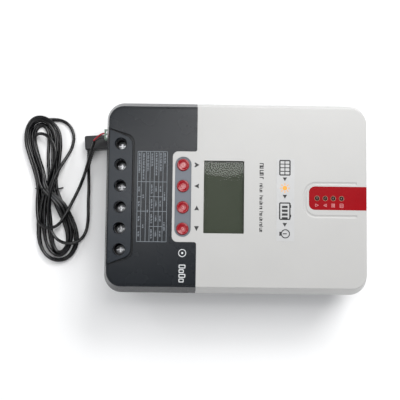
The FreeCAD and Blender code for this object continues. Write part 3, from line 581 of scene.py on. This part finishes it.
def strain_relief(shaders):
    """Ribbed taper between the cord and the probe."""
    reach = Vector(PROBE_SIDE_ROUTE[-1]) - RELIEF_FROM
    side = reach.cross(Vector((0, 0, 1))).normalized()
    up = side.cross(reach.normalized())
    around, steps = 32, 56
    bm = bmesh.new()
    rings = []
    for i in range(steps + 1):
        share = i / steps
        radius = RELIEF_R - RELIEF_TAPER * share ** 0.7
        if 0.1 < share < 0.94 and (share * RELIEF_GROOVES) % 1 > GROOVE_FROM:
            radius -= GROOVE_DEPTH
        centre = RELIEF_FROM + reach * share
        angles = [2 * math.pi * k / around for k in range(around)]
        rings.append([bm.verts.new(centre + side * math.cos(angle) * radius
                                   + up * math.sin(angle) * radius) for angle in angles])
    for first, second in zip(rings, rings[1:]):
        join_rings(bm, first, second)
    bm.faces.new(rings[0][::-1])
    bm.faces.new(rings[-1])
    relief = mesh_object("probe_relief", bm, smooth=40)
    return finish_piece(relief, shaders, "probe_black", "controller", "probe_strain_relief")


def add_cords(shaders):
    """The sensor's cord with its cores, its tie and the probe's strain relief; the plug and the
    probe keep their CAD nodes.
    """
    cores = []
    for colour, route in CORE_ROUTES.items():
        core = smooth_cord("core_wire_" + colour, route, CORE_R)
        finish_piece(core, shaders, "core_" + colour, "controller", "sensor_core_" + colour)
        cores.append(core)
    cord = smooth_cord("sensor_cord", cord_points(), CORD_R)
    finish_piece(cord, shaders, "cord_black", "controller",
                 "lead_plug_side", "cord_hank", "lead_probe_side")
    pieces = [NODES["sensor_plug"], NODES["plug_screws"], NODES["sensor_probe"]]
    pieces += cores + tie_wire(shaders) + [strain_relief(shaders)]


# ---- Prints -------------------------------------------------------------------------------
# Outlines of prints are in millimetres, seen on the CAD's X and Y.
INK = 0.03 * MM                         # half of a print's thickness
FACE_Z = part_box("upper_cover")[1].z


def bar(x0, x1, y0, y1):
    """Rectangle along X and Y."""
    return [(x0, y0), (x1, y0), (x1, y1), (x0, y1)]


def disc(x, y, r, sides=28):
    return [(x + r * math.cos(2 * math.pi * i / sides), y + r * math.sin(2 * math.pi * i / sides))
            for i in range(sides)]


def ring(x, y, inner, outer, start=0.0, sweep=360.0, steps=28):
    """Short straight pieces that make a ring or a part of one."""
    shapes = []
    for i in range(steps):
        corners = []
        for radius, share in ((outer, i), (outer, i + 1), (inner, i + 1), (inner, i)):
            angle = math.radians(start + sweep * share / steps)
            corners.append((x + radius * math.cos(angle), y + radius * math.sin(angle)))
        shapes.append(corners)
    return shapes


def stroke(x0, y0, x1, y1, width):
    """Straight line with square ends."""
    along = Vector((x1 - x0, y1 - y0)).normalized() * width / 2
    side = Vector((along.y, -along.x))
    a, b = Vector((x0, y0)), Vector((x1, y1))
    return [tuple(p) for p in (a + side, b + side, b - side, a - side)]


def frame_strokes(corners, width):
    """Closed line through the corners."""
    return [stroke(*a, *b, width) for a, b in zip(corners, corners[1:] + corners[:1])]


def rounded(corners, steps=10):
    """Outline from (x, y, radius) corners, each rounded by an arc."""
    points = []
    for i, (x, y, radius) in enumerate(corners):
        here = Vector((x, y))
        back = (Vector(corners[i - 1][:2]) - here).normalized()
        ahead = (Vector(corners[(i + 1) % len(corners)][:2]) - here).normalized()
        half = back.angle(ahead) / 2
        centre = here + (back + ahead).normalized() * radius / math.sin(half)
        start = here + back * radius / math.tan(half) - centre
        end = here + ahead * radius / math.tan(half) - centre
        for k in range(steps + 1):
            points.append(tuple(centre + start.lerp(end, k / steps).normalized() * radius))
    return points


def band_strokes(inner, outer):
    """Closed band between two outlines with the same number of points."""
    count = len(inner)
    return [[inner[i], inner[(i + 1) % count], outer[(i + 1) % count], outer[i]]
            for i in range(count)]


def print_piece(name, shapes, shaders, slot, z=FACE_Z, body="controller"):
    """Thin coloured layer in the given outlines, its middle at z, in metres; it makes the prints,
    and also the painted shade along the seam and in the screw recesses.
    """
    bm = bmesh.new()
    for outline in shapes:
        low = [bm.verts.new((x * MM, y * MM, z - INK)) for x, y in outline]
        high = [bm.verts.new((x * MM, y * MM, z + INK)) for x, y in outline]
        bm.faces.new(low[::-1])
        bm.faces.new(high)
        for i in range(len(outline)):
            n = (i + 1) % len(outline)
            bm.faces.new((low[i], low[n], high[n], high[i]))
    return finish_piece(mesh_object(name, bm, smooth=10), shaders, slot, body)


LETTER_PITCH = 0.62


def filler_line(x, y_start, y_end, height, seed):
    """A line of plain strokes in place of small print, from one y down to the other.

    The seed says where its gaps, its tall strokes and its feet fall.
    """
    shapes, y, i, foot = [], y_start, seed, x - height / 2
    while y - LETTER_PITCH > y_end:
        i += 1
        if (i * 7 + seed) % 11 in (3, 9):
            y -= LETTER_PITCH * 1.1
            continue
        tall = height * (1.0 if (i * 5 + seed) % 4 == 0 else 0.72)
        shapes.append(bar(foot, foot + tall, y - LETTER_PITCH * 0.62, y))
        if (i + seed) % 3:
            shapes.append(bar(foot, foot + height * 0.22, y - LETTER_PITCH,
                              y - LETTER_PITCH * 0.6))
        y -= LETTER_PITCH
    return shapes


# The table stands with +X up and is read towards -Y. The lines lie between its rows, from the
# lowest up, and the stops between its columns.
TABLE_LINES = [-89.2, -85.8, -81.6, -78.1, -74.3, -70.3, -66.6, -62.9]
TABLE_STOPS = [39.7, 12.5, -0.8, -13.9, -27.3, -40.9]
RULE = 0.34
# Rules across the rows: the stop, and the first and the last line that each joins.
CROSS_RULES = [(0, 0, 7), (1, 0, 7), (5, 0, 7), (2, 0, 1), (2, 3, 6), (4, 0, 1), (4, 3, 6),
               (3, 0, 2), (3, 3, 7)]
QUARTERS, HALVES, WHOLE = (1, 2, 3, 4, 5), (1, 3, 5), (1, 5)
# Each row: where its label ends, the stops between its values, and half a value's length.
TABLE_ROWS = [(20, QUARTERS, 2.8), (14, HALVES, 1.6), (22, WHOLE, 1.6), (26, QUARTERS, 4.2),
              (18, QUARTERS, 2.8), (21, QUARTERS, 2.8), (29, HALVES, 3.8)]
LABEL_START, LABEL_HEIGHT, VALUE_HEIGHT = 38.5, 1.5, 1.4


def data_table(shaders):
    """Ruled table on the dark cover, its cells filled with plain strokes."""
    rules = [bar(x - RULE / 2, x + RULE / 2, TABLE_STOPS[-1], TABLE_STOPS[0])
             for x in TABLE_LINES]
    for stop, first, last in CROSS_RULES:
        y = TABLE_STOPS[stop]
        rules.append(bar(TABLE_LINES[first], TABLE_LINES[last], y - RULE / 2, y + RULE / 2))
    cells = []
    for i, (label_end, stops, half) in enumerate(TABLE_ROWS):
        x = (TABLE_LINES[i] + TABLE_LINES[i + 1]) / 2
        cells += filler_line(x, LABEL_START, label_end, LABEL_HEIGHT, i + 2)
        for above, below in zip(stops, stops[1:]):
            y = (TABLE_STOPS[above] + TABLE_STOPS[below]) / 2
            cells += filler_line(x, y + half, y - half, VALUE_HEIGHT, i + 5)
    print_piece("print_table_rules", rules, shaders, "ink_pale")
    print_piece("print_table_text", cells, shaders, "ink_grey")


# Arrow heads that point to +X.
ARROW = [(2.3, 0), (-2.1, 2.2), (-1.7, 0), (-2.1, -2.2)]
BLUNT_ARROW = ARROW[:2] + ARROW[3:]
DART = [(2.2, 0), (-1.7, 2.3), (-2.3, 1.7), (-1.2, 0), (-2.3, -1.7), (-1.7, -2.3)]
# The sign beside each button: its shape, x, y, and quarter turns from +X.
BUTTON_ARROWS = [(DART, -36.3, 28.2, 0), (ARROW, -36.3, 9.2, 2), (ARROW, -36.1, -10.5, 1),
                 (BLUNT_ARROW, -36.1, -28.7, 3)]
# The printed line's words: x, first and last y, letters, tall and low height, and stroke.
TYPE_WORDS = [(19.8, 30.6, 16.1, 7, 3.6, 3.6, 0.8), (19.9, 12.4, 3.5, 6, 3.3, 2.4, 0.6),
              (19.9, 1.5, -11.0, 8, 3.3, 2.4, 0.6), (19.9, -12.7, -32.1, 12, 3.3, 2.4, 0.6)]
LETTER_GAP = 0.05


def arrow(shape, x, y, turn):
    c, s = round(math.cos(turn * math.pi / 2)), round(math.sin(turn * math.pi / 2))
    return [(x + a * c - b * s, y + a * s + b * c) for a, b in shape]


def filler_word(x, y_start, y_end, count, tall, low, weight):
    """Row of joined uprights in place of a printed word, from one y down to the other."""
    shapes, pitch = [], (y_start - y_end) / count
    for i in range(count):
        y = y_start - i * pitch
        height = tall if (i * 3 + count) % 4 == 0 else low
        shapes.append(bar(x, x + height, y - weight, y))
        if i % 3 != 2:
            foot = x if i % 2 else x + low - weight
            shapes.append(bar(foot, foot + weight, y - pitch + LETTER_GAP, y - weight))
        if i % 3 == 1:
            arm = y - pitch * 0.8
            shapes.append(bar(x, x + low, arm, arm + weight))
    return shapes


def panel_prints(shaders):
    """Signs beside the buttons, and the line of print beyond the display."""
    arrows = [arrow(*sign) for sign in BUTTON_ARROWS]
    print_piece("print_arrows", arrows, shaders, "ink_black")
    words = [shape for word in TYPE_WORDS for shape in filler_word(*word)]
    print_piece("print_type_line", words, shaders, "ink_black")


# Painted shade bands beside the terminal cover's seam, as grows of its outline in millimetres:
# one band inside the cover, one outside.
SEAM_INNER, SEAM_OUTER = (-1.70, -1.38), (-0.02, 0.30)
SEAM_OPEN_X = -116.0                    # the cover's end has no seam below this x


def cover_outline(grow):
    """Terminal cover's outline, each side moved outwards."""
    left, right, sharp, wide = -116.4 - grow, -92.6 + grow, 0.3, 9
    return rounded([(left, 60.8 + grow, sharp), (left, -62.4 - grow, sharp),
                    (right, -54.6 - grow, wide), (right, 53.2 + grow, wide)])


def cover_seam(shaders):
    """Painted shade on both sides of the terminal cover's open seam, widening its dark line."""
    edges = band_strokes(*map(cover_outline, SEAM_INNER))
    edges += [shape for shape in band_strokes(*map(cover_outline, SEAM_OUTER))
              if max(x for x, y in shape) > SEAM_OPEN_X]
    # Near-black layer just under the face: painted shade that widens the seam's dark line.
    print_piece("cover_seam_painted_shade", edges, shaders, "seam_painted_shade", FACE_Z - 0.01 * MM)


LIGHTS_X, LIGHTS_Y = (71.3, 78.6, 85.8, 93.2), -0.4
SIGNS_Y, SIGN_STROKE = -6.6, 0.38


def status_marks(shaders):
    """Rings round the status lights and a small plain sign beside each."""
    rims = [shape for x in LIGHTS_X for shape in ring(x, LIGHTS_Y, 2.02, 2.3)]
    print_piece("print_light_rims", rims, shaders, "ink_tan")
    (first, second, third, fourth), y, w = LIGHTS_X, SIGNS_Y, SIGN_STROKE
    signs = frame_strokes([(first - 1.5, y + 1.2), (first - 1.5, y - 1.2), (first + 1.2, y)], w)
    signs += frame_strokes([(second - 1.5, y), (second + 1.2, y - 1.3),
                            (second + 1.2, y + 1.3)], w)
    signs += [stroke(second - 0.3, y, second + 0.5, y, w)]
    for i in range(3):
        left = third - 1.6 + 1.1 * i
        signs += [bar(left, left + 0.8, y - 1.7 + 1.2 * k, y - 0.8 + 1.2 * k) for k in range(3)]
    signs += frame_strokes(bar(fourth - 1.5, fourth + 1.5, y - 1.8, y + 1.5), w)
    for x in (fourth - 0.9, fourth, fourth + 0.9):
        signs.append(stroke(x, y - 1.2, x, y + 0.9, w * 0.8))
    print_piece("print_light_signs", signs, shaders, "ink_pink")


# The sticker's pictures stand in a row along Y, between two x.
ART_X0, ART_X1, ART_STROKE, THIN_STROKE = 37.9, 47.0, 1.15, 1.15 * 0.7
PANEL_Y, BATTERY_Y = (20.2, 33.2), (-19.5, -5.0)
SUN_Y, LAMP_Y = 8.4, -32.4
POINTERS_Y = (16.4, 0.8, -24.4)


def sticker_art(shaders):
    """Panel, sun, battery and lamp in a row, with pointers between them."""
    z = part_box("front_sticker")[1].z
    x0, x1, mid = ART_X0, ART_X1, (ART_X0 + ART_X1) / 2
    low, top = PANEL_Y
    art = frame_strokes(bar(x0, x1, low, top), ART_STROKE)
    for i in (1, 2, 3):
        y = low + (top - low) * i / 4
        art.append(stroke(x0, y, x1, y, THIN_STROKE))
    art.append(stroke(mid, low, mid, top, THIN_STROKE))

    low, top = BATTERY_Y
    art += frame_strokes(bar(x0, x1, low, top), ART_STROKE)
    art += [bar(x1, x1 + 1.1, top - 4.2, top - 1.8), bar(x1, x1 + 1.1, low + 1.8, low + 4.2)]
    art += [bar(x0 + 2.0, x1 - 2.0, top - 4.5 - 3.4 * i, top - 2.4 - 3.4 * i) for i in range(4)]

    for y in POINTERS_Y:
        art.append([(mid - 2.0, y + 1.6), (mid, y - 1.8), (mid + 2.0, y + 1.6)])
    art += ring(mid + 0.6, LAMP_Y, 3.2, 4.1)
    art.append(bar(x0 - 0.2, x0 + 1.2, LAMP_Y - 1.8, LAMP_Y + 1.8))
    art.append(stroke(mid - 1.6, LAMP_Y, mid + 1.8, LAMP_Y, ART_STROKE * 0.8))
    print_piece("print_sticker_art", art, shaders, "ink_black", z)

    sun = [disc(mid, SUN_Y, 2.1)]
    for i in range(8):
        c, s = math.cos(math.pi * i / 4), math.sin(math.pi * i / 4)
        sun.append(stroke(mid + 2.9 * c, SUN_Y + 2.9 * s, mid + 4.4 * c, SUN_Y + 4.4 * s, 0.8))
    print_piece("print_sticker_sun", sun, shaders, "ink_orange", z)


MARKS_X, TARGET_Y, BOXES_Y = -48.4, -50.6, -61.2
BOX_HEIGHTS, BOX_WIDTH, BOX_PITCH, BOX_STROKE = (5.2, 3.8, 5.2, 3.8), 2.6, 4.1, 0.75


def corner_marks(shaders):
    """Two plain signs near the lower corner of the dark cover: a target and a row of boxes."""
    marks = ring(MARKS_X, TARGET_Y, 2.9, 3.5) + [disc(MARKS_X, TARGET_Y, 0.9, 16)]
    foot = MARKS_X - 2.6
    for i, height in enumerate(BOX_HEIGHTS):
        y = BOXES_Y - BOX_PITCH * i
        marks += frame_strokes(bar(foot, foot + height, y - BOX_WIDTH, y), BOX_STROKE)
    print_piece("print_corner_marks", marks, shaders, "ink_white")


# ---- Buttons, screw wells and display -----------------------------------------------------
def turned(name, profile, centre):
    """Solid of revolution about +Z; the profile runs from the axis out and back to it."""
    sides = 72
    bm = bmesh.new()
    rings = []
    for radius, height in profile:
        if radius == 0:
            rings.append([bm.verts.new((*centre, height))])
        else:
            rings.append(level_ring(bm, centre, radius, height, sides))
    for a, b in zip(rings, rings[1:]):
        for k in range(sides):
            n = (k + 1) % sides
            corners = [a[k % len(a)], b[k % len(b)], b[n % len(b)], a[n % len(a)]]
            unique = list(dict.fromkeys(corners))
            if len(unique) > 2:
                bm.faces.new(unique)
    return mesh_object(name, bm, smooth=50)


BUTTON_R, PLUNGER_R = 5.4 * MM, 2.5 * MM
FLANGE_LIP, FLANGE_THICK, FLANGE_UP = 0.6 * MM, 0.9 * MM, 1.3 * MM
DISH = 0.40
# From the middle to the edge: share of the radius, and height over the top in millimetres.
BUTTON_TOP = [(0, -DISH), (0.48, -DISH), (0.55, -0.37), (0.65, -0.24), (0.73, -0.10),
              (0.79, -0.03), (0.84, 0.0), (0.89, -0.03), (0.94, -0.17), (0.98, -0.42),
              (1.0, -0.8)]


def button_sign(index, x, y):
    """Ring in a button's dish: closed round two bars, or open towards its own side."""
    if index == 1:
        return ring(x, y, 1.2, 1.75) + [bar(x - 0.75, x - 0.25, y - 0.9, y + 0.9),
                                        bar(x + 0.25, x + 0.75, y - 0.9, y + 0.9)]
    sign = ring(x, y, 0.75, 1.25, start=60 * index, sweep=300)
    if index == 4:
        sign.append(stroke(x - 1.2, y - 1.0, x - 2.0, y - 1.9, 0.5))
    return sign


def button_cap(index, shaders):
    """Push button with a rounded rim and a shallow dish with a printed sign."""
    node = "button_%d" % index
    centre, bottom, top = middle(node)
    low, high = bottom + FLANGE_UP, bottom + FLANGE_UP + FLANGE_THICK
    profile = [(share * BUTTON_R, top + height * MM) for share, height in BUTTON_TOP]
    profile += [(BUTTON_R, high), (BUTTON_R + FLANGE_LIP, high), (BUTTON_R + FLANGE_LIP, low),
                (PLUNGER_R, low), (PLUNGER_R, bottom), (0, bottom)]
    cap = turned("button_cap_%d" % index, profile, centre)
    finish_piece(cap, shaders, "button_red", node, node)
    sign = button_sign(index, centre[0] / MM, centre[1] / MM)
    print_piece("print_button_%d" % index, sign, shaders, "ink_pink", top - DISH * MM, node)


SLEEVE_IN, SLEEVE_OUT = 5.5 * MM, 6.4 * MM
SLEEVE_LOW, SLEEVE_HIGH = 56.4 * MM, FACE_Z - 0.35 * MM
# The lip lies inside the edge of the cover's hole and ends just under the face.
LIP_IN, LIP_HEIGHT, LIP_CHAMFER = 0.12 * MM, 1.9 * MM, 0.3 * MM


def well_sleeve(index, shaders):
    """Tube under the terminal cover that guides a driver to a terminal screw."""
    centre, _, _ = middle("terminal_screw_%d" % index)
    lip, lip_low = SLEEVE_IN - LIP_IN, SLEEVE_HIGH - LIP_HEIGHT
    profile = [(SLEEVE_IN, SLEEVE_LOW), (SLEEVE_OUT, SLEEVE_LOW), (SLEEVE_OUT, lip_low),
               (lip, lip_low), (lip, SLEEVE_HIGH),
               (SLEEVE_IN - LIP_CHAMFER, SLEEVE_HIGH - LIP_CHAMFER)]
    bm = bmesh.new()
    rings = [level_ring(bm, centre, radius, z, sides=64) for radius, z in profile]
    for a, b in zip(rings, rings[1:] + rings[:1]):
        join_rings(bm, a, b)
    sleeve = mesh_object("well_sleeve_%d" % index, bm, smooth=35)
    finish_piece(sleeve, shaders, "slate_plastic", "controller")


# Half length and half width of the slot and of the bar across it; the gap keeps them apart.
SLOT, CROSS, SLOT_GAP = (3.4, 0.5), (2.25, 0.6), 0.62
RECESS_DEPTH = 1.47 * MM


def paint_screw_recess_shade(index, shaders):
    """Painted shade on the floor of the slot and cross in a terminal screw, a dark steel layer
    where the recess lies in shade.
    """
    centre, _, top = middle("terminal_screw_%d" % index)
    x, y = centre[0] / MM, centre[1] / MM
    shapes = [bar(x - SLOT[0], x - SLOT_GAP, y - SLOT[1], y + SLOT[1]),
              bar(x + SLOT_GAP, x + SLOT[0], y - SLOT[1], y + SLOT[1]),
              bar(x - CROSS[1], x + CROSS[1], y - CROSS[0], y + CROSS[0])]
    # Dark steel layer on the flat recess floors: painted shade.
    print_piece("screw_recess_%d" % index, shapes, shaders, "steel_dark", top - RECESS_DEPTH,
                "screw_%d" % index)


WINDOW_STEPS, WINDOW_BOW = 24, 0.22 * MM


def display_window(shaders):
    """Clear window over the display, its upper face slightly bowed."""
    low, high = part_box("lcd_window")
    steps = WINDOW_STEPS
    bm = bmesh.new()
    grids = []
    for z, lift in ((low.z, 0), (high.z - WINDOW_BOW, WINDOW_BOW)):
        grid = []
        for i in range(steps + 1):
            row = []
            for k in range(steps + 1):
                u, v = 2 * i / steps - 1, 2 * k / steps - 1
                height = z + lift * (1 - u * u) * (1 - v * v)
                row.append(bm.verts.new((low.x + (high.x - low.x) * i / steps,
                                         low.y + (high.y - low.y) * k / steps, height)))
            grid.append(row)
        grids.append(grid)
    for grid in grids:
        for i in range(steps):
            for k in range(steps):
                bm.faces.new((grid[i][k], grid[i + 1][k], grid[i + 1][k + 1], grid[i][k + 1]))
    border = [(i, 0) for i in range(steps)] + [(steps, k) for k in range(steps)]
    border += [(steps - i, steps) for i in range(steps)] + [(0, steps - k) for k in range(steps)]
    for (i, k), (m, n) in zip(border, border[1:] + border[:1]):
        bm.faces.new((grids[0][i][k], grids[0][m][n], grids[1][m][n], grids[1][i][k]))
    finish_piece(mesh_object("display_window", bm, smooth=40), shaders, "window_clear",
                 "controller", "lcd_window")


# ---- Put together -------------------------------------------------------------------------
add_camera()
add_floor()
add_studio()
SHADERS = make_shaders()
dress_cad_nodes(SHADERS)
level_shading("terminal_cover", "lower_cover", "upper_cover")
add_cords(SHADERS)
data_table(SHADERS)
cover_seam(SHADERS)
panel_prints(SHADERS)
status_marks(SHADERS)
sticker_art(SHADERS)
corner_marks(SHADERS)
for number in range(1, 5):
    button_cap(number, SHADERS)
display_window(SHADERS)
for number in range(1, 7):
    well_sleeve(number, SHADERS)
for number in range(1, 7):
    paint_screw_recess_shade(number, SHADERS)
